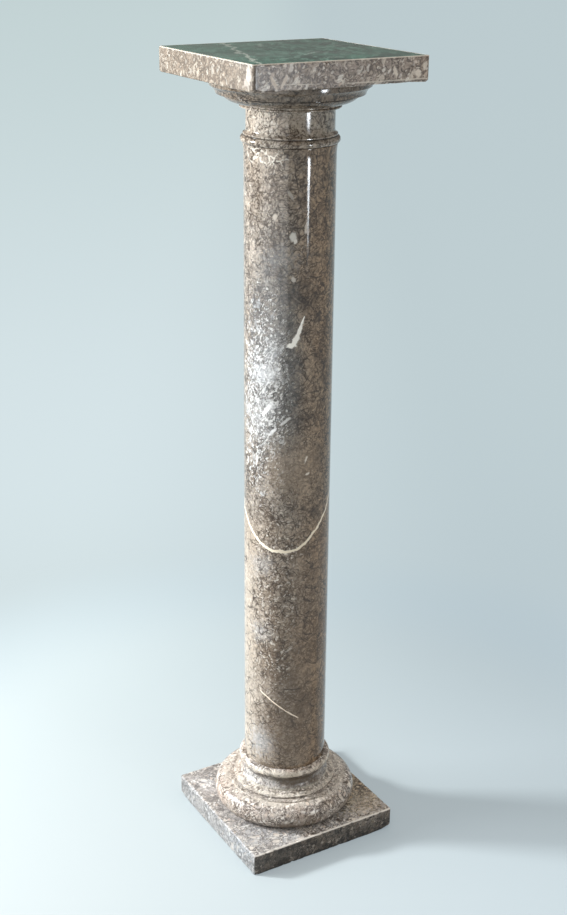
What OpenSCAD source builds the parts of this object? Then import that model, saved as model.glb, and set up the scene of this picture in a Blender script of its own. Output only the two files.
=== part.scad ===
// A column pedestal in the Tuscan Doric manner: a plain round shaft with a turned base and a turned
// capital, between a square foot slab and a square top slab with an inlaid plate.
// Z is up, and the origin is the centre of the foot slab's underside. Sizes are in millimetres.
// A moulding is sized by how far it stands out from the shaft, so it follows the shaft's diameter.

/* [Shaft] */
// Diameter of the shaft
shaft_d = 117; // [90:1:150]
// Length of the shaft, between the base and the capital
shaft_h = 880; // [500:5:1200]
// Height of the flare at the shaft's top
flare_h = 14; // [8:1:30]
// How far the flare spreads beyond the shaft
flare_out = 1.5; // [0.5:0.1:3]

/* [Plinth] */
// Thickness of the square foot slab
plinth_h = 32; // [20:1:50]
// How far the foot slab's sides stand beyond the torus
plinth_margin = 13; // [4:1:30]

/* [Base mouldings, from the foot slab up] */
// Height of the large half-round torus
torus_h = 36; // [24:1:46]
// How far the torus stands out
torus_out = 43.5; // [36:0.5:60]
// Height of the thin fillet on the torus
foot_fillet_h = 2; // [1:0.5:4]
// How far the thin fillet stands out
foot_fillet_out = 22.5; // [18:0.5:28]
// Height of the upright face under the shoulder
shoulder_face_h = 3; // [1:0.5:6]
// How far the upright face under the shoulder stands out
shoulder_out = 15.5; // [10:0.5:20]
// Height of the hollow shoulder that rises to the scotia's lip
shoulder_h = 3.5; // [2:0.5:6]
// Height of the scotia's lip
lip_h = 3.5; // [2:0.5:8]
// How far the lip stands out
lip_out = 4.5; // [2:0.5:8]
// Height of the scotia, the deep hollow above the lip
scotia_h = 17.5; // [14:0.5:26]
// Depth of the scotia, in from the lip
scotia_depth = 4.5; // [1:0.5:6]
// Height of the bead that the shaft stands on
foot_bead_h = 12.5; // [8:0.5:18]
// How far the bead stands out
foot_bead_out = 7.5; // [5:0.5:12]

/* [Capital mouldings, from the shaft up] */
// Height of the astragal, the bead at the capital's foot
astragal_h = 10; // [6:0.5:14]
// How far the astragal stands out
astragal_out = 4.5; // [3:0.5:8]
// Height of the small fillet on the astragal
neck_fillet_h = 2.5; // [1:0.5:4]
// How far the small fillet stands out
neck_fillet_out = 1; // [0.5:0.5:2.5]
// Height of the sweep from that fillet into the necking
neck_sweep_h = 4; // [2:0.5:8]
// Height of the plain necking
neck_h = 27; // [16:1:60]
// How far the necking lies in from the shaft's surface
neck_in = 2.5; // [0.5:0.5:5]
// Number of annulets, the small rings under the echinus
annulets = 2; // [1:1:3]
// Height of each annulet
annulet_h = 3; // [2:0.5:5]
// How far the annulets stand out
annulet_out = 5.5; // [3:0.5:8]
// Height of the echinus, the cushion that spreads to carry the slab
echinus_h = 8.5; // [6:0.5:14]
// How far the echinus stands out at its top
echinus_out = 27; // [20:0.5:34]
// How far the echinus swells beyond a straight line
echinus_swell = 3; // [1:0.25:3.5]
// Height of the quirk, the narrow groove over the echinus
quirk_h = 2; // [1:0.5:4]
// How far the quirk stands out
quirk_out = 24; // [16:0.5:30]
// Height of the cavetto that spreads to the crown
cavetto_h = 10; // [6:0.5:16]
// How far the cavetto's foot stands out
cavetto_out = 34.5; // [30:0.5:40]
// Depth of the cavetto, in from a straight line
cavetto_depth = 1.5; // [0.5:0.25:2.5]
// Height of the crown, the plain band under the top slab
crown_h = 9; // [3:0.5:15]
// How far the crown stands out
crown_out = 42.5; // [41:0.5:60]

/* [Top slab] */
// Thickness of the square top slab
abacus_h = 31; // [22:1:50]
// How far the top slab's sides stand beyond the crown
abacus_margin = 20; // [5:1:40]
// Thickness of the inlaid plate
inlay_h = 8; // [3:0.5:14]
// Width of the rim that the slab keeps around the plate
inlay_rim = 2.5; // [2:0.5:30]
// Joint between the plate's edge and the rim
inlay_gap = 0.2; // [0.1:0.05:0.5]

/* [Corners] */
// Radius of the slabs' upright corners
corner_r = 4; // [2.5:0.5:10]
// Radius of the pocket's and the plate's corners
inlay_corner_r = 2; // [1:0.5:8]

/* [Hidden] */
$fn = 128;

shaft_r = shaft_d / 2;
plinth_w = 2 * (shaft_r + torus_out + plinth_margin);
abacus_w = 2 * (shaft_r + crown_out + abacus_margin);
pocket_w = abacus_w - 2 * inlay_rim;

// A moulding is [height, how far its foot stands out, how far its top stands out, bulge]. The bulge
// is how far its face swells beyond a straight line, and is negative where the face is hollow. A
// half-round has its full height as twice its radius, and is marked by ROUND.
ROUND = "round";
base_mouldings = [
    [torus_h, torus_out, torus_out, ROUND],
    [foot_fillet_h, foot_fillet_out, foot_fillet_out, 0],
    [shoulder_face_h, shoulder_out, shoulder_out, 0],
    [shoulder_h, shoulder_out, lip_out, -shoulder_h / 5],
    [lip_h, lip_out, lip_out, 0],
    [scotia_h, lip_out, lip_out, -scotia_depth],
    [foot_bead_h, foot_bead_out, foot_bead_out, ROUND]
];
shaft_mouldings = [
    [shaft_h - flare_h, 0, 0, 0],
    [flare_h, 0, flare_out, -flare_out / 4]
];
capital_mouldings = [
    [astragal_h, astragal_out, astragal_out, ROUND],
    [neck_fillet_h, neck_fillet_out, neck_fillet_out, 0],
    [neck_sweep_h, neck_fillet_out, -neck_in, -neck_sweep_h / 5],
    [neck_h, -neck_in, -neck_in, 0],
    for (i = [1 : annulets]) [annulet_h, annulet_out, annulet_out, ROUND],
    [echinus_h, annulet_out, echinus_out, echinus_swell],
    [quirk_h, quirk_out, quirk_out, 0],
    [cavetto_h, cavetto_out, crown_out, -cavetto_depth],
    [crown_h, crown_out, crown_out, 0]
];

// Height of the first n mouldings of a stack, and of the whole stack
function height(stack, n) = n == 0 ? 0 : height(stack, n - 1) + stack[n - 1][0];
function full_height(stack) = height(stack, len(stack));

base_z = plinth_h;
shaft_z = base_z + full_height(base_mouldings);
capital_z = shaft_z + full_height(shaft_mouldings);
abacus_z = capital_z + full_height(capital_mouldings);
inlay_z = abacus_z + abacus_h - inlay_h;

// Half-section of one moulding, from the axis to its face, standing on the X axis
module half_section(moulding) {
    h = moulding[0];
    foot = [shaft_r + moulding[1], 0];
    top = [shaft_r + moulding[2], h];
    bulge = moulding[3];
    if (bulge == ROUND) {
        square([foot.x - h / 2, h]);
        translate([foot.x - h / 2, h / 2]) circle(d = h);
    } else if (bulge == 0) {
        straight_section(foot, top);
    } else {
        // The face is an arc through foot and top, whose middle lies bulge away from their chord
        chord = norm(top - foot);
        normal = [h, foot.x - top.x] / chord;
        r = (chord * chord / 4 + bulge * bulge) / (2 * abs(bulge));
        centre = (foot + top) / 2 + normal * (bulge - sign(bulge) * r);
        if (bulge > 0) {
            straight_section(foot, top);
            intersection() {
                translate(centre) circle(r = r);
                square([max(foot.x, top.x) + bulge, h]);
            }
        } else {
            difference() {
                straight_section(foot, top);
                translate(centre) circle(r = r);
            }
        }
    }
}

// Half-section with a straight face
module straight_section(foot, top) {
    polygon([[0, 0], foot, top, [0, top.y]]);
}

// A turned block, made of mouldings one on another
module turned(stack, z) {
    translate([0, 0, z]) rotate_extrude()
        for (i = [0 : len(stack) - 1])
            translate([0, height(stack, i)]) half_section(stack[i]);
}

// A square slab with rounded upright corners, centred on the axis
module slab(w, h, r) {
    linear_extrude(h) {
        square([w, w - 2 * r], center = true);
        square([w - 2 * r, w], center = true);
        for (x = [-1, 1], y = [-1, 1])
            translate([x, y] * (w / 2 - r)) circle(r = r);
    }
}

module plinth() {
    color("#8f8478") slab(plinth_w, plinth_h, corner_r);
}

module base() {
    color("#b3a99c") turned(base_mouldings, base_z);
}

module shaft() {
    color("#7d7268") turned(shaft_mouldings, shaft_z);
}

module capital() {
    color("#877b70") turned(capital_mouldings, capital_z);
}

module abacus() {
    color("#988b7f") difference() {
        translate([0, 0, abacus_z]) slab(abacus_w, abacus_h, corner_r);
        translate([0, 0, inlay_z]) slab(pocket_w, inlay_h + 1, inlay_corner_r);
    }
}

module green_top() {
    color("#4f6f66") translate([0, 0, inlay_z])
        slab(pocket_w - 2 * inlay_gap, inlay_h, inlay_corner_r);
}

plinth();
base();
shaft();
capital();
abacus();
green_top();
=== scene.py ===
import math

import bmesh
import bpy
from mathutils import Matrix, Vector, noise


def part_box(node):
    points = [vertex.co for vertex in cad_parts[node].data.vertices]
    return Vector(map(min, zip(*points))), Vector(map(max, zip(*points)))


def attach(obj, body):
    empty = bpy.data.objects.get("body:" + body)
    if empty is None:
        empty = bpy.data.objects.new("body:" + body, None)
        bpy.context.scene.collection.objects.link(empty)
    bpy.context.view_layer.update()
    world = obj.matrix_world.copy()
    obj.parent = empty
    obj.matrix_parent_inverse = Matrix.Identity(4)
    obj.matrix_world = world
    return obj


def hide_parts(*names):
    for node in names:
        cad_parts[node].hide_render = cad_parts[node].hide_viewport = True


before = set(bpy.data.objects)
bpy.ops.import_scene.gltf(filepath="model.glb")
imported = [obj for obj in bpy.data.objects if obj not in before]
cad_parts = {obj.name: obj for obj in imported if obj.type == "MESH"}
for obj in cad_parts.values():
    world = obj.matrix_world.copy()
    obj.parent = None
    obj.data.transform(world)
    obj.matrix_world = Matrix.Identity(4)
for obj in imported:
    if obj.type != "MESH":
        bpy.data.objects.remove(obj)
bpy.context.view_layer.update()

MM = 0.001

# ---------------------------------------------------------------------------
# Plinth: the square slab that the column stands on, sawn from brown fossil
# marble. Its top is polished, its edges are only rubbed down, and its corners
# and arrises are knocked from being moved about. The base is bedded on it.
# ---------------------------------------------------------------------------
PLINTH_CORNER = 4 * MM          # radius of the upright corners
EDGE_PITCH = 2.1 * MM           # spacing of the cuts along an edge
CORNER_STEPS = 6
KNOCK_HEIGHT = 12 * MM          # how far wear reaches up an edge
EASED_WIDTH = 9 * MM            # and in over the top
UP = (0, 0, 1)
FRONT = (0, -1, 0)
SIDE = (-1, 0, 0)


def outward_gap(x, y, middle, half, corner):
    """How far a point lies inside a slab's outline, and which way is out there."""
    px, py = x - middle.x, y - middle.y
    qx = abs(px) - (half.x - corner)
    qy = abs(py) - (half.y - corner)
    sx, sy = math.copysign(1, px), math.copysign(1, py)
    if qx > 0 and qy > 0:
        reach = math.hypot(qx, qy)
        return corner - reach, Vector((sx * qx / reach, sy * qy / reach, 0))
    if qx > qy:
        return corner - qx, Vector((sx, 0, 0))
    return corner - qy, Vector((0, sy, 0))


def sawn_slab(low, high, corner, rows, rims):
    """A slab from low to high, its upright corners rounded, with rows of cuts up its
    edge (heights above low) and rims inset on its top and bottom (widths)."""
    slab = bmesh.new()
    bmesh.ops.create_grid(slab, x_segments=1, y_segments=1, size=0.5)
    size, middle = high - low, (high + low) / 2
    place = Matrix.Translation((middle.x, middle.y, low.z)) @ Matrix.Diagonal((size.x, size.y, 1,
                                                                               1))
    bmesh.ops.transform(slab, matrix=place, verts=slab.verts)
    bmesh.ops.bevel(slab, geom=slab.verts[:], offset=corner, segments=CORNER_STEPS, profile=0.5,
                    affect="VERTICES", material=-1)
    sides = [e for e in slab.edges if e.calc_length() > size.x / 2]
    bmesh.ops.subdivide_edges(slab, edges=sides, cuts=int(size.x / EDGE_PITCH))
    under = slab.faces[:]
    level = low.z
    face = under
    for row in [*rows, size.z]:
        made = bmesh.ops.extrude_face_region(slab, geom=face, use_keep_orig=True)
        lifted = [v for v in made["geom"] if isinstance(v, bmesh.types.BMVert)]
        if face is not under:
            bmesh.ops.delete(slab, geom=face, context="FACES_ONLY")
        bmesh.ops.translate(slab, vec=(0, 0, low.z + row - level), verts=lifted)
        level = low.z + row
        face = [f for f in made["geom"] if isinstance(f, bmesh.types.BMFace)]
    for cap in (face, [f for f in slab.faces if all(abs(v.co.z - low.z) < 1e-7 for v in f.verts)]):
        done = 0
        for rim in rims:
            bmesh.ops.inset_region(slab, faces=cap, thickness=rim - done, use_even_offset=True,
                                   use_boundary=True)
            done = rim
    bmesh.ops.remove_doubles(slab, verts=slab.verts, dist=1e-6)
    bmesh.ops.recalc_face_normals(slab, faces=slab.faces)
    return slab


def ease_arrises(slab, low, high, corner, ease, ragged, knocks):
    """Wears the top and bottom arrises: an even easing, ragged nicks along it, and
    knocks, each (x, y, z, reach, depth) from the slab's middle."""
    half, middle = (high - low) / 2, (high + low) / 2
    for v in slab.verts:
        gap, out = outward_gap(v.co.x, v.co.y, middle, half, corner)
        top = v.co.z > middle.z
        rise = high.z - v.co.z if top else v.co.z - low.z
        if gap > EASED_WIDTH or rise > KNOCK_HEIGHT:
            continue
        wear = ease * (1 + 0.5 * noise.noise(v.co * 60))
        nick = noise.noise(Vector((v.co.x, v.co.y, 5 if top else 9)) * 140)
        wear += ragged * max(0, nick - 0.12) * 2.4
        nick = noise.noise(Vector((v.co.x, v.co.y, 15 if top else 19)) * 420)
        wear += ragged * 0.5 * max(0, nick)
        for x, y, z, reach, depth in knocks:
            away = v.co - middle - Vector((x, y, z))
            far = (away.x / reach) ** 2 + (away.y / reach) ** 2 + (away.z / KNOCK_HEIGHT) ** 2
            wear += depth * math.exp(-far)
        if gap + rise < wear:
            back = (wear - gap - rise) / 2
            v.co -= out * back
            v.co.z += -back if top else back


def to_piece(name, mesh_work, sharp=38):
    """Closes a bmesh into a named object at the origin, smooth except across sharp turns."""
    for e in mesh_work.edges:
        e.smooth = len(e.link_faces) == 2 and e.calc_face_angle() < math.radians(sharp)
    mesh = bpy.data.meshes.new(name)
    mesh_work.to_mesh(mesh)
    mesh_work.free()
    mesh.polygons.foreach_set("use_smooth", [True] * len(mesh.polygons))
    piece = bpy.data.objects.new(name, mesh)
    bpy.context.scene.collection.objects.link(piece)
    return piece


def rgb(r, g, b):
    """A colour written as it is seen on a screen, as Blender's linear one."""
    linear = [c / 255 / 12.92 if c < 10 else ((c / 255 + 0.055) / 1.055) ** 2.4 for c in (r, g, b)]
    return (*linear, 1)


CRACK_TINT = rgb(58, 47, 39)


class Stone:
    """A stone finish under construction: a material, its colour so far, and short
    names for its nodes. place is the object's own metres, block is a shifted copy
    of it that sets where in the quarry block the piece was cut."""

    def __init__(self, name, roughness, shift=(0, 0, 0)):
        self.material = bpy.data.materials.new(name)
        self.material.use_nodes = True
        self.tree = self.material.node_tree
        self.shader = self.tree.nodes["Principled BSDF"]
        self.shader.inputs["Roughness"].default_value = roughness
        self.place = self.add("TexCoord").outputs["Object"]
        self.block = self.sum3(self.place, shift)
        self.colour = None

    def add(self, kind, sockets=None, **settings):
        node = self.tree.nodes.new("ShaderNode" + kind)
        for key, value in settings.items():
            setattr(node, key, value)
        for key, value in (sockets or {}).items():
            if isinstance(value, bpy.types.NodeSocket):
                self.tree.links.new(value, node.inputs[key])
            else:
                node.inputs[key].default_value = value
        return node

    def sum3(self, a, b):
        return self.add("VectorMath", {0: a, 1: b}, operation="ADD").outputs[0]

    def sized(self, a, scale):
        return self.add("VectorMath", {0: a, "Scale": scale}, operation="SCALE").outputs[0]

    def math(self, operation, a, b=0.0):
        return self.add("Math", {0: a, 1: b}, operation=operation).outputs[0]

    def both(self, a, b):
        """Two masks, or a mask and its share, multiplied."""
        return self.math("MULTIPLY", a, b)

    def fold(self, grain):
        """How far a grain is from its middle value: near 0 it draws thin curled lines."""
        return self.math("ABSOLUTE", self.math("SUBTRACT", grain, 0.5))

    def grain(self, where, scale, detail=2.0, rough=0.5, colour=False):
        node = self.add("TexNoise", {"Vector": where, "Scale": scale, "Detail": detail,
                                     "Roughness": rough})
        return node.outputs["Color" if colour else "Fac"]

    def grains(self, where, scale, channel):
        """Round grains: the distance from each one's middle, and a number of its own."""
        node = self.add("TexVoronoi", {"Vector": where, "Scale": scale})
        own = self.add("SeparateColor", {"Color": node.outputs["Color"]})
        return node.outputs["Distance"], own.outputs[channel]

    def net(self, where, scale):
        """The distance from the edges of a net of broken cells."""
        node = self.add("TexVoronoi", {"Vector": where, "Scale": scale},
                        feature="DISTANCE_TO_EDGE")
        return node.outputs["Distance"]

    def ramp(self, value, low, high, to_low=0.0, to_high=1.0):
        node = self.add("MapRange", {"Value": value, "From Min": low, "From Max": high,
                                     "To Min": to_low, "To Max": to_high},
                        interpolation_type="SMOOTHSTEP")
        return node.outputs["Result"]

    def over(self, share, under, top, blend="MIX"):
        node = self.add("Mix", {"Factor": share}, data_type="RGBA", blend_type=blend)
        for key, value in ((6, under), (7, top)):
            if isinstance(value, bpy.types.NodeSocket):
                self.tree.links.new(value, node.inputs[key])
            else:
                node.inputs[key].default_value = value
        return node.outputs[2]

    def lean(self, where, turn, stretch):
        """The same place turned and stretched, so that a pattern on it runs one way."""
        return self.add("Mapping", {"Vector": where, "Rotation": turn, "Scale": stretch},
                        vector_type="TEXTURE").outputs[0]

    def inclusion(self, at, size, turn=(0, 0, 0), soft=0.25, ragged=0.5):
        """A lump of another colour in the stone: its centre, half sizes and turn."""
        local = self.add("Mapping", {"Vector": self.place, "Location": at, "Rotation": turn,
                                     "Scale": size}, vector_type="TEXTURE").outputs[0]
        far = self.add("VectorMath", {0: local}, operation="LENGTH").outputs["Value"]
        rough = self.both(self.math("SUBTRACT", self.fray, 0.5), ragged * 2)
        return self.ramp(self.math("ADD", far, rough), 1 + soft / 2, 1 - soft / 2)

    def vein(self, slope, level, width, ragged=0.003):
        """A flat sheet of calcite through the stone, seen where it meets the surface:
        slope is the sheet's normal, level its distance, width its thickness."""
        along = self.add("VectorMath", {0: self.place, 1: Vector(slope).normalized()},
                         operation="DOT_PRODUCT")
        off = self.math("SUBTRACT", along.outputs["Value"], level)
        wave = self.both(self.math("SUBTRACT", self.wander, 0.5), ragged * 2)
        off = self.math("ABSOLUTE", self.math("ADD", off, wave))
        thick = self.both(self.ramp(self.fray, 0.25, 0.75, 0.55, 1.35), width / 2)
        return self.ramp(self.math("DIVIDE", off, thick), 1.25, 0.75)

    def measure(self, way):
        """How far a place lies along one direction."""
        return self.add("VectorMath", {0: self.place, 1: way},
                        operation="DOT_PRODUCT").outputs["Value"]

    def near_face(self, way, face, deep, shallow):
        """The skin under a flat face that lies at face along way: 0 at deep mm inside
        it, and 1 from shallow mm outwards."""
        return self.ramp(self.measure(way), face - deep * MM, face - shallow * MM)

    def band(self, way, low, high, soft=0.0006):
        """A stretch between two measures along way, its ends wavering a little."""
        waver = self.both(self.math("SUBTRACT", self.fray, 0.5), soft * 2)
        value = self.math("ADD", self.measure(way), waver)
        return self.both(self.ramp(value, low - soft, low + soft),
                         self.ramp(value, high + soft, high - soft))

    def tint(self, where, share, tint, blend="MIX"):
        """Lays a tint over the colour so far, by where, at most share of it."""
        if share != 1:
            where = self.both(where, share)
        self.colour = self.over(where, self.colour, tint, blend)

    def finish(self, bump=None, depth=0.0):
        self.tree.links.new(self.colour, self.shader.inputs["Base Color"])
        if bump is not None:
            node = self.add("Bump", {"Height": bump, "Distance": depth, "Strength": 1.0})
            self.tree.links.new(node.outputs[0], self.shader.inputs["Normal"])
        return self.material


def fossil_marble(name, roughness, shift, tones, fleck, shells, squiggle):
    """Brown marble full of broken shell, all in the solid: ground colours, fine dark
    squiggles, pale grains, then the shells. tones are its warm, cool and dark ground,
    fleck is the shells' size, and shells and squiggle are the shares of each."""
    stone = Stone(name, roughness, shift)
    warm, cool, dark = tones
    swirl = stone.sum3(stone.grain(stone.block, 60, 2.0, 0.5, True), (-0.5, -0.5, -0.5))
    bent = stone.sum3(stone.block, stone.sized(swirl, 0.014))
    stone.bent = bent
    stone.wander = stone.grain(stone.block, 38, 3.0)
    stone.fray = stone.grain(stone.block, 210, 3.0, 0.6)
    shells = stone.ramp(stone.wander, 0.30, 0.62, shells * 0.45, shells)
    stone.colour = stone.over(stone.ramp(stone.grain(stone.block, 9, 3.0), 0.38, 0.62), warm, cool)
    stone.tint(stone.ramp(stone.grain(bent, 34, 4.0, 0.6), 0.42, 0.66), 0.7, dark)
    fine = stone.grain(bent, 300, 3.0, 0.6)
    stone.tint(stone.ramp(fine, 0.49, 0.64, 0.0, 0.6), 1.0, rgb(187, 174, 159))
    stone.tint(stone.ramp(fine, 0.48, 0.36, 0.0, 0.85), 1.0, rgb(70, 57, 46))
    # fine dark squiggles and crackle
    for scale, stretch, dark_share in ((105, (1.3, 1.3, 1), 0.95), (190, (1.4, 1, 1), 0.8)):
        curl = stone.grain(stone.lean(bent, (0.4, 0.7, scale / 100), stretch), scale, 1.5)
        line = stone.ramp(stone.fold(curl), 0.034, 0.010)
        line = stone.both(line, stone.ramp(stone.grain(stone.block, 75, 2.0), 0.38, 0.56))
        stone.tint(line, squiggle * dark_share, CRACK_TINT)
    crack = stone.both(stone.ramp(stone.net(bent, 105), 0.10, 0.02),
                       stone.ramp(stone.wander, 0.36, 0.56))
    stone.tint(crack, squiggle * 0.8, rgb(62, 50, 42))
    # small pale grains everywhere
    off, own = stone.grains(bent, 270, 1)
    here = stone.both(stone.ramp(off, 0.36, 0.16), stone.ramp(own, 0.72, 0.78))
    stone.tint(here, 0.6, rgb(212, 198, 182))
    # shell fragments, from long to short, with ragged ends
    for scale, turn, tint, share, reach, long in (
            (62 / fleck, (0.0, 0.62, -0.53), rgb(226, 216, 204), 0.60, 0.30, 2.2),
            (95 / fleck, (0.6, 0.3, 0.2), rgb(214, 196, 180), 0.55, 0.30, 1.8),
            (120 / fleck, (0.0, 0.62, -0.53), rgb(240, 236, 230), 0.50, 0.32, 2.4),
            (190 / fleck, (1.2, -0.4, 2.0), rgb(236, 230, 222), 0.50, 0.34, 1.5)):
        off, own = stone.grains(stone.lean(bent, turn, (1, 1, long)), scale, 0)
        off = stone.math("ADD", off, stone.both(stone.fray, 0.30))
        here = stone.both(stone.ramp(off, reach + 0.17, reach + 0.07),
                          stone.ramp(own, share, share + 0.04))
        stone.tint(here, shells, tint)
    # thin curved shell edges, broken up
    curl = stone.grain(stone.lean(bent, (0.2, 1.0, 0.5), (1, 1, 1.6)), 90 / fleck, 1.0)
    line = stone.ramp(stone.fold(curl), 0.026, 0.009)
    line = stone.both(line, stone.ramp(stone.grain(stone.block, 110, 1.0), 0.5, 0.56))
    stone.tint(line, shells, rgb(236, 228, 216))
    # dark specks
    off, own = stone.grains(bent, 210, 1)
    here = stone.both(stone.ramp(off, 0.30, 0.14), stone.ramp(own, 0.7, 0.74))
    stone.tint(here, 0.85, rgb(56, 45, 36))
    return stone


plinth_low, plinth_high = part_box("plinth")
plinth_rows = (0.8, 1.7, 2.8, 4.5, 7, 10, 14, 18, 22, 25, 27.5, 29.2, 30.3, 31.2)
plinth_rims = (0.8, 1.7, 2.8)
plinth_work = sawn_slab(plinth_low, plinth_high, PLINTH_CORNER, [r * MM for r in plinth_rows],
                        [r * MM for r in plinth_rims])
plinth_half = (plinth_high - plinth_low) / 2
ease_arrises(plinth_work, plinth_low, plinth_high, PLINTH_CORNER, 1.3 * MM, 1.6 * MM, [
    (-plinth_half.x, plinth_half.y, -plinth_half.z, 14 * MM, 5 * MM),
    (plinth_half.x, -plinth_half.y, -plinth_half.z, 12 * MM, 5 * MM),
    (-plinth_half.x, -plinth_half.y, plinth_half.z, 6 * MM, 2 * MM),
])
plinth = to_piece("plinth_slab", plinth_work)
stone = fossil_marble(
    "plinth marble", 0.42, (0.31, 0.12, 0.07), fleck=0.8, shells=0.8, squiggle=0.95,
    tones=(rgb(178, 170, 164), rgb(176, 178, 180), rgb(118, 110, 103)))
# greyer and evener towards one side
stone.tint(stone.ramp(stone.measure(SIDE), 0.02, 0.08), 0.35, rgb(148, 146, 146))
# the front face is darkened, partly painted shade on the face turned from the key lamp and partly
# the stone's own darker tone, with darker blotches, flecks left pale, and a band darker again along
# its foot
front = stone.near_face(FRONT, plinth_half.y, 2.2, 0.9)
# painted shade and darker stone over the whole front face
stone.tint(front, 0.9, rgb(118, 107, 95), "MULTIPLY")
blotch = stone.ramp(stone.grain(stone.bent, 70, 4.0, 0.65), 0.50, 0.58)
stone.tint(stone.both(blotch, front), 0.75, rgb(128, 112, 92), "MULTIPLY")
fleck = stone.ramp(stone.grain(stone.bent, 120, 4.0, 0.65), 0.585, 0.65)
stone.tint(stone.both(fleck, front), 0.6, rgb(186, 176, 166))
# a band darker along the foot of the front face
foot_band = stone.band(UP, -2 * MM, 4 * MM, 2 * MM)
stone.tint(stone.both(foot_band, front), 0.7, rgb(120, 110, 98), "MULTIPLY")
# the side face is toned a little darker and cooler
stone.tint(stone.near_face(SIDE, plinth_half.x, 2.2, 0.9), 1, rgb(226, 231, 236), "MULTIPLY")
# a chalky patch at one corner of the top, and an olive tint beside the base where the column's
# shadow falls, partly painted shadow and partly olive streaks of the stone
chalky = stone.inclusion((0.088, -0.092, plinth_high.z), (0.036, 0.024, 0.02), (0, 0, 0.5),
                         soft=1.2, ragged=1.6)
chalky = stone.both(chalky, stone.ramp(stone.fray, 0.42, 0.58))
stone.tint(chalky, 0.6, rgb(222, 212, 204))
# olive tint: partly painted shadow beside the base, partly the stone's olive streaks
olive_and_shadow = stone.inclusion((0.085, -0.030, plinth_high.z), (0.050, 0.075, 0.02), soft=0.9, ragged=1.2)
stone.tint(olive_and_shadow, 0.75, rgb(204, 188, 156), "MULTIPLY")
# a painted highlight along the front arris of the top
arris_highlight = stone.both(stone.near_face(UP, plinth_high.z, 1.7, 0.9),
                 stone.near_face(FRONT, plinth_half.y, 3.5, 1.5))
stone.tint(arris_highlight, 0.85, rgb(228, 222, 214))
plinth.data.materials.append(stone.finish(stone.fray, 0.0004))
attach(plinth, "root")
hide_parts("plinth")

# ---------------------------------------------------------------------------
# Base: one turned block of the same marble with a round lower moulding, two
# fillets, a hollow and a bead. It is turned and rubbed on a lathe, and bedded
# on the plinth on a thin joint.
# ---------------------------------------------------------------------------
TURNS = 192                     # cuts round a turned piece


def sweep(foot, top, bulge, cuts):
    """Points of an arc in the turned outline from foot to top, (radius, height) in mm:
    bulge is how far its middle swells out, or in where it is negative."""
    foot, top = Vector(foot), Vector(top)
    chord = (top - foot).length
    radius = (chord ** 2 / 4 + bulge ** 2) / (2 * abs(bulge))
    out = Vector((top.y - foot.y, foot.x - top.x)) / chord
    centre = (foot + top) / 2 + out * (bulge - math.copysign(radius, bulge))
    start, end = foot - centre, top - centre
    a = math.atan2(start.y, start.x)
    turn = math.atan2(start.x * end.y - start.y * end.x, start.dot(end))
    return [centre + radius * Vector((math.cos(a + turn * k / cuts), math.sin(a + turn * k / cuts)))
            for k in range(1, cuts)]


def outline(*steps):
    """The turned outline as points in mm: each step is a point, or a point with the
    bulge of the arc that leads to it."""
    points = []
    for radius, height, *arc in steps:
        if arc:
            points += sweep(points[-1], (radius, height), arc[0], arc[1])
        points.append(Vector((radius, height)))
    return points


def on_circle(azimuth, height, radius):
    """A place on a turned skin, and the turn that squares a lump up to it there."""
    turn = math.radians(azimuth)
    return (radius * math.cos(turn), radius * math.sin(turn), height), turn + math.pi / 2


def turned(points, floor, ease, wander):
    """Spins an outline in mm about the column's axis, closed at both ends, with its
    sharp rings eased and its skin a little uneven."""
    work = bmesh.new()
    ends = [Vector((0, points[0].y)), *points, Vector((0, points[-1].y))]
    chain = [work.verts.new((p.x * MM, 0, floor + p.y * MM)) for p in ends]
    lines = [work.edges.new(pair) for pair in zip(chain, chain[1:])]
    bmesh.ops.spin(work, geom=chain + lines, cent=(0, 0, 0), axis=(0, 0, 1), dvec=(0, 0, 0),
                   angle=math.tau, steps=TURNS, use_merge=True)
    bmesh.ops.remove_doubles(work, verts=work.verts, dist=2e-6)
    bmesh.ops.recalc_face_normals(work, faces=work.faces)
    sharp = [e for e in work.edges if len(e.link_faces) == 2
             and e.calc_face_angle_signed() > math.radians(30) and e.calc_length() > 0.4 * MM
             and math.hypot(*(e.verts[0].co - e.verts[1].co).xy) > 1e-6
             and abs(e.verts[0].co.z - e.verts[1].co.z) < 1e-7]
    if ease:
        bmesh.ops.bevel(work, geom=sharp, offset=ease, segments=2, profile=0.5, affect="EDGES",
                        material=-1, clamp_overlap=True)
    for v in work.verts:
        reach = math.hypot(v.co.x, v.co.y)
        if reach > 1 * MM:
            swell = noise.noise(v.co * 26) * wander
            pit = max(0, noise.noise(v.co * 190) - 0.35) * wander * 6
            v.co.xy *= 1 + min(0, swell - pit - wander) / reach
    return work


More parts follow.
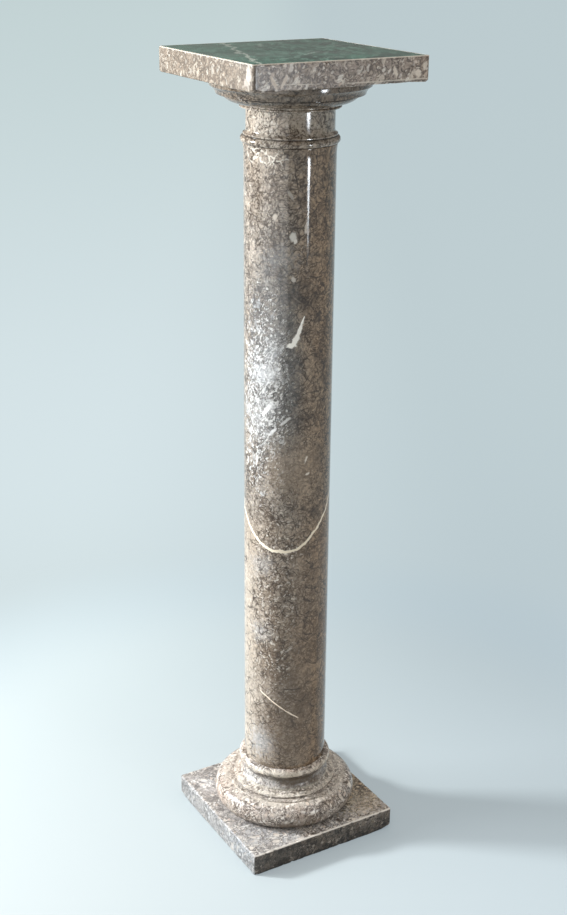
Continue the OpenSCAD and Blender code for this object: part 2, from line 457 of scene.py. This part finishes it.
base_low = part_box("base")[0]
base_outline = outline(
    (84, 0), (84, 36, 18, 40),                              # round lower moulding
    (81, 36), (81, 38), (74, 38), (74, 41),                 # fillets
    (63, 44.5, -0.7, 6), (63, 48),                          # shoulder
    (63, 65.5, -4.5, 16),                                   # hollow
    (59.75, 65.5), (59.75, 78, 6.25, 18))                   # bead
base = to_piece("turned_base", turned(base_outline, base_low.z, 0.5 * MM, 0.12 * MM))
stone = fossil_marble(
    "base marble", 0.34, (0.07, 0.52, 0.21), fleck=0.75, shells=0.7, squiggle=0.9,
    tones=(rgb(172, 154, 142), rgb(165, 160, 156), rgb(116, 101, 88)))
ring_break = stone.ramp(stone.grain(stone.bent, 150, 3.0), 0.38, 0.56, 0.25, 1.0)
for low, high, tint, share, blend in (
        (0, 9, rgb(112, 98, 82), 0.85, "MULTIPLY"),             # painted shade at the foot, under the round moulding
        (46.5, 62, rgb(150, 152, 154), 0.40, "MIX"),            # the hollow runs grey
        (58, 65, rgb(104, 92, 80), 0.85, "MULTIPLY"),           # painted shade under the bead
        (38.2, 40.2, rgb(120, 106, 92), 0.8, "MULTIPLY"),       # painted shade in the step above the fillet
        (34.5, 38.2, rgb(226, 218, 206), 0.42, "MIX"),          # painted highlights on the arrises
        (40.4, 42.2, rgb(230, 222, 208), 0.60, "MIX"),
        (44.2, 47.5, rgb(230, 224, 210), 0.50, "MIX"),
        (66.5, 76, rgb(226, 216, 200), 0.55, "MIX")):           # and a painted highlight on the bead's crown
    ring = stone.band(UP, base_low.z + low * MM, base_low.z + high * MM, 0.0016)
    stone.tint(stone.both(ring, ring_break), share, tint, blend)
# dark patches on the front of the hollow and low on the foot, painted shade with some brown stain:
# azimuth, radius and height in mm, half sizes
for azimuth, radius, height, size, share in (
        (-101, 59, 56, (0.030, 0.014, 0.0075), 0.88),
        (-75, 62, 50, (0.012, 0.010, 0.005), 0.6),
        (-118, 100, 10, (0.016, 0.012, 0.005), 0.75),
        (-100, 101, 14, (0.020, 0.012, 0.006), 0.55)):
    at, face = on_circle(azimuth, base_low.z + height * MM, radius * MM)
    shade_and_stain = stone.inclusion(at, size, (0, 0, face), soft=1.0, ragged=1.3)
    stone.tint(shade_and_stain, share, rgb(90, 76, 61))
base.data.materials.append(stone.finish(stone.fray, 0.0002))
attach(base, "root")
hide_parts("base")

# ---------------------------------------------------------------------------
# Shaft: one long turned drum of fossil marble, polished to a high gloss, with a
# small flare at its top. Pale calcite veins run through the block on a slant,
# and its colour changes from brown to grey and back along its length.
# ---------------------------------------------------------------------------
SHAFT_RADIUS = 58.5             # mm
FLARE_RADIUS = 60               # mm, at the very top
FLARE_HEIGHT = 14               # mm
SHAFT_CUTS = 60
ACROSS = (0.8609, -0.5088, 0)   # level, to the right as the camera looks
ACROSS_BACK = (-0.8609, 0.5088, 0)
ACROSS_TURN = math.radians(-30.6)
shaft_low, shaft_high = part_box("shaft")
shaft_length = (shaft_high.z - shaft_low.z) / MM
flare_foot = shaft_length - FLARE_HEIGHT
shaft_points = [Vector((SHAFT_RADIUS, shaft_length * k / SHAFT_CUTS)) for k in range(SHAFT_CUTS)]
shaft_points = [p for p in shaft_points if p.y < flare_foot]
shaft_points += outline((SHAFT_RADIUS, flare_foot), (FLARE_RADIUS, shaft_length, -0.4, 8))
shaft = to_piece("column_shaft", turned(shaft_points, shaft_low.z, 0.4 * MM, 0.05 * MM))


def drum_lump(azimuth, height, wide, tall, lean=0.0, **how):
    """A lump lying in the shaft's skin, leaning by lean degrees."""
    at, face = on_circle(azimuth, height, SHAFT_RADIUS * MM)
    return stone.inclusion(at, (wide, 12 * MM, tall), (0, math.radians(lean), face), **how)


stone = fossil_marble(
    "shaft marble", 0.09, (0.0, 0.0, 0.0), fleck=0.8, shells=0.14, squiggle=0.85,
    tones=(rgb(153, 138, 122), rgb(141, 134, 126), rgb(91, 78, 66)))
# cloudier and darker in long upright drifts
drift = stone.grain(stone.lean(stone.block, (0, 0, 0), (1, 1, 2.2)), 42, 4.0, 0.6)
stone.tint(stone.ramp(drift, 0.52, 0.68), 0.55, rgb(150, 138, 126), "MULTIPLY")
stone.tint(stone.ramp(drift, 0.46, 0.32), 0.35, rgb(188, 176, 162))
# browner and darker on the side turned from the key lamp, partly painted shade and partly the
# stone's own brown; browner in the lower third; and paler low on the side toward the key lamp,
# painted light
stone.tint(stone.ramp(stone.measure(ACROSS), -0.012, 0.050), 0.9, rgb(230, 210, 182), "MULTIPLY")
stone.tint(stone.ramp(stone.measure(UP), 0.54, 0.43), 0.18, rgb(146, 122, 98))
# painted light, low on the side toward the key lamp
painted_light_side = stone.both(stone.ramp(stone.measure(ACROSS_BACK), 0.018, 0.056),
                        stone.ramp(stone.measure(UP), 0.56, 0.42))
stone.tint(painted_light_side, 0.36, rgb(202, 192, 178))
# long thin dark cracks, wandering and broken
crack_break = stone.ramp(stone.grain(stone.block, 80, 2.0), 0.42, 0.52)
for scale, thin in ((34, 0.030), (62, 0.040)):
    seam = stone.ramp(stone.net(stone.bent, scale), thin, thin * 0.35)
    stone.tint(stone.both(seam, crack_break), 0.8, CRACK_TINT)
# a grey stretch across the front, and white shell ground fine in its left half
grey = drum_lump(-144, 0.712, 0.082, 0.135, soft=1.2, ragged=0.6)
stone.tint(grey, 0.58, rgb(110, 112, 114))
white = drum_lump(-156, 0.672, 0.074, 0.105, lean=14, soft=1.7, ragged=0.8)
white_run = stone.lean(stone.bent, (0, math.radians(38), ACROSS_TURN), (1, 1, 1.8))
for scale, low, tint, share in ((70, 0.65, rgb(160, 162, 164), 0.6),
                                (150, 0.64, rgb(188, 188, 187), 0.8),
                                (330, 0.62, rgb(212, 211, 209), 0.85)):
    fine = stone.grain(white_run, scale, 4.0, 0.65)
    fine = stone.math("ADD", fine, stone.both(white, 0.115))
    shown = stone.both(stone.ramp(fine, low, low + 0.06), stone.ramp(white, 0.02, 0.25))
    stone.tint(shown, share, tint)
lace = stone.ramp(stone.fold(stone.grain(white_run, 170, 3.0, 0.6)), 0.034, 0.012)
stone.tint(stone.both(lace, grey), 0.75, rgb(54, 52, 50))
# soft clouds: azimuth, height, half width, half height, tint, share
for azimuth, height, wide, tall, tint, share in (
        (-155, 0.429, 0.016, 0.014, rgb(184, 188, 192), 0.26),
        (-155, 0.326, 0.015, 0.013, rgb(184, 188, 192), 0.32),
        (-156, 0.149, 0.020, 0.020, rgb(184, 188, 192), 0.40),
        (-130, 0.855, 0.020, 0.012, rgb(184, 188, 192), 0.15),
        (-150, 0.703, 0.020, 0.013, rgb(224, 226, 228), 0.42),
        (-160, 0.640, 0.014, 0.018, rgb(220, 221, 222), 0.18),
        (-141, 0.735, 0.010, 0.020, rgb(200, 203, 206), 0.25),
        (-112, 0.572, 0.060, 0.036, rgb(168, 148, 126), 0.40),
        (-119, 0.255, 0.034, 0.080, rgb(104, 88, 72), 0.50),
        (-112, 0.150, 0.030, 0.040, rgb(104, 88, 72), 0.30)):
    stone.tint(drum_lump(azimuth, height, wide, tall, soft=1.7, ragged=1.8), share, tint)
# a fine dark net with small shells down the lower left
fine_here = drum_lump(-140, 0.360, 0.052, 0.135, soft=1.2, ragged=0.8)
dark_net = stone.both(stone.ramp(stone.net(stone.bent, 130), 0.12, 0.05),
                      stone.ramp(stone.grain(stone.block, 110, 2.0), 0.44, 0.54))
stone.tint(stone.both(dark_net, fine_here), 0.8, rgb(58, 46, 38))
small_shell = stone.ramp(stone.grain(white_run, 230, 4.0, 0.65), 0.575, 0.64)
stone.tint(stone.both(small_shell, fine_here), 0.7, rgb(206, 198, 188))
# pale grit scattered in the dark below the hairpin vein, and thinner down the left
grit_left = drum_lump(-150, 0.330, 0.040, 0.100, soft=1.6, ragged=0.9)
grit_here = stone.math("MAXIMUM", stone.both(grit_left, 0.7),
                       drum_lump(-132, 0.462, 0.046, 0.040, soft=1.6, ragged=0.9))
off, own = stone.grains(stone.bent, 200, 2)
grit = stone.both(stone.ramp(off, 0.40, 0.20), stone.ramp(own, 0.62, 0.68))
stone.tint(stone.both(grit, grit_here), 0.8, rgb(222, 214, 204))
# single shells: azimuth, height, half width, half height, lean, tint, share
for azimuth, height, wide, tall, lean, tint, share in (
        (-104, 0.772, 0.0012, 0.010, 22, rgb(254, 252, 247), 1.0),      # the spear, point first
        (-107, 0.762, 0.0022, 0.012, 20, rgb(254, 252, 247), 1.0),
        (-112, 0.750, 0.0036, 0.009, 24, rgb(254, 252, 247), 1.0),
        (-117, 0.743, 0.0060, 0.0034, -8, rgb(254, 252, 247), 1.0),
        (-148, 0.655, 0.0030, 0.011, 36, rgb(232, 232, 232), 0.75),     # in the grey stretch
        (-124, 0.640, 0.0020, 0.009, 48, rgb(226, 226, 226), 0.7),
        (-140, 0.625, 0.0024, 0.008, 40, rgb(228, 228, 228), 0.7),
        (-116, 0.883, 0.0040, 0.0062, -10, rgb(214, 212, 206), 0.9),    # in the upper quarter
        (-113, 0.877, 0.0020, 0.0030, 10, rgb(226, 222, 216), 0.9),
        (-138, 0.907, 0.0028, 0.0040, 20, rgb(204, 194, 182), 0.8),
        (-119, 0.934, 0.0022, 0.0060, -30, rgb(180, 174, 166), 0.7),
        (-115, 0.829, 0.0030, 0.0034, 0, rgb(210, 204, 196), 0.8),
        (-100, 0.894, 0.0018, 0.0080, 6, rgb(214, 206, 196), 0.8),
        (-164, 0.579, 0.0016, 0.0070, 12, rgb(236, 230, 222), 0.8),     # by the hairpin vein
        (-96, 0.585, 0.0014, 0.0050, 20, rgb(226, 220, 210), 0.8),
        (-93, 0.565, 0.0034, 0.0012, -20, rgb(226, 220, 210), 0.8),
        (-112, 0.241, 0.0150, 0.0010, 0, rgb(60, 48, 40), 0.8)):        # a short dark crack
    lump = drum_lump(azimuth, height, wide, tall, lean, soft=0.6, ragged=0.75)
    stone.tint(lump, share, tint)
# a net of white shell just under the capital
white_net = stone.both(stone.ramp(stone.net(stone.bent, 85), 0.09, 0.03),
                       drum_lump(-152, 0.979, 0.046, 0.011, lean=4, soft=0.8, ragged=0.9))
white_net = stone.both(white_net, stone.ramp(stone.fray, 0.36, 0.52))
stone.tint(white_net, 0.8, rgb(226, 220, 208))
# the hairpin vein: a slanting sheet, highest at the back
HAIRPIN_SLOPE = (-0.791, -0.987, 1)
HAIRPIN_AXIS_HEIGHT = 0.5275    # where the sheet crosses the column's axis
hairpin = stone.vein(HAIRPIN_SLOPE, HAIRPIN_AXIS_HEIGHT / Vector(HAIRPIN_SLOPE).length, 3.0 * MM)
stone.tint(hairpin, 1, rgb(238, 226, 206))
# a second, thinner sheet that dies out across the front
THIN_FALL = 0.727               # how much the thin sheet falls for each metre across
THIN_AXIS_HEIGHT = 0.2075
thin_slope = (ACROSS[0] * THIN_FALL, ACROSS[1] * THIN_FALL, 1)
thin_vein = stone.vein(thin_slope, THIN_AXIS_HEIGHT / math.hypot(THIN_FALL, 1), 1.9 * MM, 0.002)
stone.tint(thin_vein, drum_lump(-130, 0.213, 0.036, 0.060, soft=0.15, ragged=0.1),
           rgb(236, 222, 204))
shaft.data.materials.append(stone.finish())
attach(shaft, "root")
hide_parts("shaft")

# ---------------------------------------------------------------------------
# Capital: the turned head of the column, with an astragal, a short neck, two
# small annulets, a swelling echinus and a hollow under its crown. One block of
# the same marble, polished, bedded between the shaft and the abacus.
# ---------------------------------------------------------------------------
capital_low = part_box("capital")[0]
capital_outline = outline(
    (58, 0), (58, 10, 5, 16), (59.5, 10), (59.5, 12.5),             # astragal and its fillet
    (56, 16.5, -0.8, 6), (56, 43.5),                                # neck
    (62.5, 43.5), (62.5, 46.5, 1.5, 8), (62.5, 49.5, 1.5, 8),       # annulets
    (64, 49.5), (85.5, 58, 3, 14), (82.5, 58), (82.5, 60),          # echinus
    (93, 60), (101, 70, -1.5, 10), (101, 79))                       # hollow and crown
capital = to_piece("turned_capital", turned(capital_outline, capital_low.z, 0.4 * MM, 0.05 * MM))
stone = fossil_marble(
    "capital marble", 0.13, (0.4, 0.3, 0.1), fleck=0.8, shells=0.2, squiggle=0.9,
    tones=(rgb(170, 156, 140), rgb(158, 152, 142), rgb(116, 100, 84)))
for low, high, tint, share in (
        (50, 79, rgb(138, 124, 110), 0.68),     # painted shade under the abacus, over the echinus, hollow and crown
        (42.6, 43.8, rgb(80, 68, 58), 0.9),     # painted shade in the creases under the annulets and in the astragal, and a dark line along the joint at its foot
        (9.6, 11.0, rgb(80, 68, 58), 0.8),
        (0, 0.9, rgb(60, 50, 42), 0.9)):
    ring = stone.band(UP, capital_low.z + low * MM, capital_low.z + high * MM, 0.0005)
    stone.tint(ring, share, tint, "MULTIPLY")
capital.data.materials.append(stone.finish())
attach(capital, "root")
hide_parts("capital")

# ---------------------------------------------------------------------------
# Abacus: the square slab on the capital, the same marble with larger shells. A
# shallow pocket sunk in its top takes the green slab and leaves a narrow rim.
# Its arrises are worn, and one runs off in a long shallow spall.
# ---------------------------------------------------------------------------
ABACUS_CORNER = 4 * MM
abacus_low, abacus_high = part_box("abacus")
green_low, green_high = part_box("green_top")
abacus_half = (abacus_high - abacus_low) / 2
abacus_rows = (0.8, 1.7, 2.8, 4.2, 6, 8, 11, 15, 19, 23, 26, 28.2, 29.5, 30.3)
abacus_rims = (0.8, 1.6, 2.5)   # the last is the rim's width
abacus_work = sawn_slab(abacus_low, abacus_high, ABACUS_CORNER, [r * MM for r in abacus_rows],
                        [r * MM for r in abacus_rims])
ease_arrises(abacus_work, abacus_low, abacus_high, ABACUS_CORNER, 0.7 * MM, 1.2 * MM, [
    (0.045, -abacus_half.y, -abacus_half.z, 30 * MM, 3.0 * MM),
    (0.095, -abacus_half.y, -abacus_half.z, 26 * MM, 3.0 * MM),
    (-abacus_half.x, -abacus_half.y, -abacus_half.z, 9 * MM, 2.5 * MM),
])
bed = [f for f in abacus_work.faces if len(f.verts) > 40 and f.normal.z > 0.5]
sunk = bmesh.ops.extrude_face_region(abacus_work, geom=bed, use_keep_orig=True)
bmesh.ops.delete(abacus_work, geom=bed, context="FACES_ONLY")
sunk_verts = [v for v in sunk["geom"] if isinstance(v, bmesh.types.BMVert)]
bmesh.ops.translate(abacus_work, vec=(0, 0, green_low.z - abacus_high.z), verts=sunk_verts)
bmesh.ops.recalc_face_normals(abacus_work, faces=abacus_work.faces)
abacus = to_piece("abacus_slab", abacus_work)
stone = fossil_marble(
    "abacus marble", 0.30, (0.2, 0.75, 0.4), fleck=0.95, shells=0.6, squiggle=0.8,
    tones=(rgb(150, 132, 118), rgb(146, 134, 126), rgb(112, 94, 80)))
# one side is evener, greyer and a little darker
evened_side = stone.near_face(SIDE, abacus_half.x, 3, 1)
stone.tint(evened_side, 0.30, rgb(136, 122, 108))
stone.tint(evened_side, 1, rgb(214, 212, 206), "MULTIPLY")
# single shells in the edges, a painted highlight by the front corner and a dark strip down it:
# centre, half sizes, turn, tint, share
for at, size, turn, tint, share in (
        # these two: a painted highlight on the side face by the front corner, over a pale patch of
        # the stone
        ((-0.121, -0.111, 1.088), (0.006, 0.0060, 0.010), 0.3, rgb(188, 178, 168), 0.7),
        ((-0.121, -0.105, 1.079), (0.006, 0.0055, 0.004), 0.5, rgb(184, 172, 162), 0.6),
        # a dark strip down the rounded front corner
        ((-0.117, -0.121, 1.085), (0.0024, 0.004, 0.020), 0.0, rgb(78, 66, 56), 0.75),
        ((-0.094, -0.121, 1.0785), (0.0024, 0.004, 0.0085), -0.5, rgb(206, 192, 176), 0.8),
        ((-0.080, -0.121, 1.0800), (0.0022, 0.004, 0.0085), 0.5, rgb(210, 196, 182), 0.8),
        ((0.071, -0.121, 1.084), (0.0026, 0.004, 0.007), -0.4, rgb(222, 212, 200), 0.8),
        ((0.104, -0.121, 1.080), (0.0045, 0.004, 0.0045), 0.0, rgb(226, 216, 204), 0.85),
        ((0.114, -0.121, 1.088), (0.0035, 0.004, 0.0050), 0.4, rgb(220, 210, 198), 0.8),
        ((-0.060, -0.121, 1.0755), (0.0300, 0.004, 0.0006), 0.03, rgb(214, 206, 196), 0.6)):
    stone.tint(stone.inclusion(at, size, (0, turn, 0), soft=0.5, ragged=0.8), share, tint)
# painted highlights: along the arris of the rim, and a line where the spall runs off below
stone.tint(stone.near_face(UP, abacus_high.z, 1.3, 0.7), 0.75, rgb(224, 216, 204))
spall_highlight = stone.both(stone.band(UP, abacus_low.z + 3.6 * MM, abacus_low.z + 5.0 * MM, 0.0008),
                   stone.ramp(stone.measure((1, 0, 0)), -0.010, 0.020))
stone.tint(spall_highlight, 0.7, rgb(222, 214, 202))
abacus.data.materials.append(stone.finish(stone.fray, 0.0002))
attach(abacus, "root")
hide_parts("abacus")

# ---------------------------------------------------------------------------
# Green top: a thin square of dark green marble let into the abacus, its face
# flush with the rim. Polished, with a few pale veins, one of them long.
# ---------------------------------------------------------------------------
GREEN_CORNER = 2 * MM
green_work = sawn_slab(green_low, green_high, GREEN_CORNER, [4 * MM, 7.2 * MM, 7.7 * MM],
                       [0.4 * MM, 1 * MM])
ease_arrises(green_work, green_low, green_high, GREEN_CORNER, 0.4 * MM, 0.3 * MM, [])
green_top = to_piece("green_top_slab", green_work)
stone = Stone("green marble", 0.12, (0.1, 0.2, 0.3))
stone.wander = stone.grain(stone.block, 30, 3.0)
stone.fray = stone.grain(stone.block, 160, 3.0, 0.6)
cloud = stone.ramp(stone.grain(stone.block, 22, 5.0, 0.6), 0.35, 0.65)
stone.colour = stone.over(cloud, rgb(20, 76, 64), rgb(64, 126, 108))
stone.tint(stone.ramp(stone.grain(stone.block, 60, 4.0, 0.6), 0.5, 0.65), 0.6, rgb(16, 50, 40))
thread = stone.grain(stone.lean(stone.block, (0, 0, 0.7), (2.4, 1, 1)), 26, 3.0)
stone.tint(stone.ramp(stone.fold(thread), 0.012, 0.002), 0.35, rgb(130, 170, 150))
run = stone.grain(stone.lean(stone.block, (0, 0, ACROSS_TURN), (1, 2.6, 1)), 95, 3.0, 0.6)
stone.tint(stone.ramp(run, 0.53, 0.62), 0.55, rgb(120, 164, 148))
stone.tint(stone.ramp(run, 0.47, 0.37), 0.6, rgb(12, 52, 44))
# paler towards the corner on the key lamp's side: a painted sheen
stone.tint(stone.ramp(stone.measure((-0.86, 0.51, 0)), -0.03, 0.14), 0.42, rgb(128, 166, 150))
# the long vein, and short streaks: centre, half sizes, turn, share
stone.tint(stone.vein((1, -0.344, 0), -0.0662, 4.6 * MM, 0.016), 0.85, rgb(196, 208, 196))
for at, size, turn, share in (
        ((0.005, -0.039), (0.026, 0.0016), 36, 0.7),
        ((0.006, -0.090), (0.010, 0.0022), -28, 0.8),
        ((-0.055, -0.079), (0.028, 0.0014), 15, 0.55),
        ((-0.002, 0.073), (0.020, 0.0030), 60, 0.4),
        ((0.070, 0.020), (0.034, 0.0016), 22, 0.4)):
    streak = stone.inclusion((*at, green_high.z), (*size, 0.01), (0, 0, math.radians(turn)),
                             soft=0.7, ragged=0.7)
    stone.tint(streak, share, rgb(178, 202, 188))
green_top.data.materials.append(stone.finish())
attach(green_top, "root")
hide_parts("green_top")

# ---------------------------------------------------------------------------
# Setting: a pale floor that runs on as the backdrop, a key lamp behind to the
# left with a broad one beside it, a soft box and a column of strips that only
# the polish shows, a weak fill from the front, an even sky, and the camera.
# ---------------------------------------------------------------------------
scene = bpy.context.scene
scene.view_settings.view_transform = "Standard"

AHEAD = (0.5088, 0.8609, 0)     # level, the way the camera looks
CAMERA_STANDOFF = 1.79          # how far before the column the camera stands, m
FLOOR_REACH = 90                # m
floor_work = bmesh.new()
bmesh.ops.create_circle(floor_work, cap_ends=True, segments=96, radius=FLOOR_REACH)
floor = to_piece("floor", floor_work)
paper = Stone("floor paper", 0.9)
# the paper's tone is laid out from where the camera stands, as fixed places on the
# floor: no node reads the camera and it stays put in other views, but it suits the
# main view only
depth = paper.math("ADD", paper.measure(AHEAD), CAMERA_STANDOFF)
nearness = paper.math("DIVIDE", 0.7, paper.math("MAXIMUM", depth, 0.8))
across = paper.ramp(paper.measure(ACROSS), -0.50, 0.50)


def tint_ramp(value, stops):
    """A colour that runs smoothly through the stops, each (value, tint)."""
    node = paper.add("ValToRGB", {"Fac": value})
    node.color_ramp.interpolation = "B_SPLINE"
    while len(node.color_ramp.elements) < len(stops):
        node.color_ramp.elements.new(0.5)
    for element, (at, tint) in zip(node.color_ramp.elements, stops):
        element.position = at
        element.color = tint
    return node.outputs[0]


left_tint = tint_ramp(nearness, (
    (0.04, rgb(194, 210, 211)), (0.15, rgb(213, 227, 231)), (0.23, rgb(217, 231, 235)),
    (0.28, rgb(213, 227, 230)), (0.34, rgb(213, 225, 227)), (0.44, rgb(220, 230, 232))))
right_tint = tint_ramp(nearness, (
    (0.04, rgb(189, 204, 208)), (0.16, rgb(194, 209, 213)), (0.24, rgb(191, 206, 211)),
    (0.29, rgb(187, 202, 208)), (0.36, rgb(205, 219, 225)), (0.44, rgb(217, 231, 237))))
paper_tint = paper.over(across, left_tint, right_tint)
# far off the floor glows evenly, and near the column the lamps light part of it,
# so that it keeps the shadow
away = paper.add("VectorMath", {0: paper.place}, operation="LENGTH").outputs["Value"]
lit_share = paper.ramp(away, 0.95, 0.50, 0.0, 0.66)
glow_tint = paper.over(lit_share, paper_tint, (0.92, 1.0, 1.10, 1), "MULTIPLY")
warm_tint = paper.over(lit_share, paper_tint, (1.045, 1.0, 0.965, 1), "MULTIPLY")
glow = paper.add("Emission", {"Color": glow_tint,
                              "Strength": paper.math("SUBTRACT", 0.985, lit_share)})
lit_tint = paper.sized(warm_tint, paper.both(lit_share, 0.63))
lit_paper = paper.add("BsdfDiffuse", {"Color": lit_tint})
seen_paper = paper.add("AddShader", {0: glow.outputs[0], 1: lit_paper.outputs[0]})
# what the floor throws back onto the stone is plainer and darker
plain_paper = paper.add("BsdfDiffuse", {"Color": (0.37, 0.39, 0.385, 1)})
ray = paper.add("LightPath")
mirrored = paper.math("MAXIMUM", ray.outputs["Is Glossy Ray"], ray.outputs["Is Transmission Ray"])
seen = paper.math("MAXIMUM", ray.outputs["Is Camera Ray"], mirrored)
paper_mix = paper.add("MixShader", {0: seen, 1: plain_paper.outputs[0], 2: seen_paper.outputs[0]})
paper.tree.links.new(paper_mix.outputs[0], paper.tree.nodes["Material Output"].inputs["Surface"])
paper.tree.nodes.remove(paper.shader)
floor.data.materials.append(paper.material)


def lamp(name, shape, size, watts, at, towards, colour=(1, 1, 1)):
    """An area lamp that the camera doesn't see, aimed at a place."""
    data = bpy.data.lights.new(name, "AREA")
    data.shape = shape
    data.size = size[0]
    data.size_y = size[-1]
    data.energy = watts
    data.color = colour
    made = bpy.data.objects.new(name, data)
    scene.collection.objects.link(made)
    made.location = at
    made.rotation_euler = (Vector(towards) - Vector(at)).to_track_quat("-Z", "Y").to_euler()
    made.visible_camera = False
    return made


def around(azimuth, reach, height):
    """A place round the column, by azimuth in degrees."""
    turn = math.radians(azimuth)
    return (reach * math.cos(turn), reach * math.sin(turn), height)


DAYLIGHT = (0.95, 0.98, 1.0)
lamp("key lamp", "DISK", (0.34,), 112, around(145, 2.25, 1.36), (0, 0, 0.45), DAYLIGHT)
side_lamp = lamp("side lamp", "DISK", (0.8,), 44, around(156, 2.3, 1.0), (0, 0, 0.4), DAYLIGHT)
side_lamp.visible_glossy = False
soft_box = lamp("soft box", "RECTANGLE", (2.8, 2.4), 27, around(-156.5, 2.2, 0.6), (0, 0, 0.6))
soft_box.visible_diffuse = False
fill_lamp = lamp("fill lamp", "DISK", (0.5,), 5.6, around(-70, 1.8, 0.95), (0, 0, 0.7),
                 (1.0, 0.95, 0.90))
fill_lamp.visible_glossy = False
# strips from the top down, brightest where the polish is best: height, width, watts
STRIP_TALL = 0.08
for number, (height, wide, watts) in enumerate((
        (0.97, 0.16, 0.9), (0.89, 0.16, 1.9), (0.81, 0.16, 2.3),
        (0.73, 0.15, 1.5), (0.65, 0.11, 0.6), (0.57, 0.07, 0.2))):
    strip = lamp("strip lamp " + str(number + 1), "RECTANGLE", (wide, STRIP_TALL), watts,
                 around(-74.5, 1.5, height), (0, 0, height), (0.88, 0.94, 1.0))
    strip.visible_diffuse = False

# the sky lights the stone, weaker from below, and shows as the backdrop's colour
world = bpy.data.worlds.new("studio air")
scene.world = world
world.use_nodes = True
air = world.node_tree
air_light = air.nodes["Background"]
air_light.inputs["Color"].default_value = (1.0, 0.97, 0.92, 1)
air_way = air.nodes.new("ShaderNodeTexCoord")
air_parts = air.nodes.new("ShaderNodeSeparateXYZ")
air.links.new(air_way.outputs["Generated"], air_parts.inputs[0])
air_rise = air.nodes.new("ShaderNodeMapRange")
air_rise.interpolation_type = "SMOOTHSTEP"
for key, value in (("From Min", 0.25), ("From Max", 0.90), ("To Min", 0.22), ("To Max", 0.95)):
    air_rise.inputs[key].default_value = value
air.links.new(air_parts.outputs[2], air_rise.inputs[0])
air.links.new(air_rise.outputs[0], air_light.inputs["Strength"])
air_seen = air.nodes.new("ShaderNodeBackground")
air_seen.inputs["Color"].default_value = rgb(194, 210, 211)
air_ray = air.nodes.new("ShaderNodeLightPath")
air_mix = air.nodes.new("ShaderNodeMixShader")
air.links.new(air_ray.outputs["Is Camera Ray"], air_mix.inputs[0])
air.links.new(air_light.outputs[0], air_mix.inputs[1])
air.links.new(air_seen.outputs[0], air_mix.inputs[2])
air.links.new(air_mix.outputs[0], air.nodes["World Output"].inputs["Surface"])

CAMERA_AT = (-0.91582, -1.53967, 1.27391)
CAMERA_TURN = math.radians(-30.5845)
CAMERA_DIP = math.radians(21.5260)
CAMERA_ROLL = math.radians(0.4870)
camera_data = bpy.data.cameras.new("camera")
camera_data.lens = 55.958
camera_data.sensor_width = 36
camera = bpy.data.objects.new("camera", camera_data)
scene.collection.objects.link(camera)
camera.matrix_world = (Matrix.Translation(CAMERA_AT) @ Matrix.Rotation(CAMERA_TURN, 4, "Z")
                       @ Matrix.Rotation(math.radians(90) - CAMERA_DIP, 4, "X")
                       @ Matrix.Rotation(CAMERA_ROLL, 4, "Z"))
scene.camera = camera
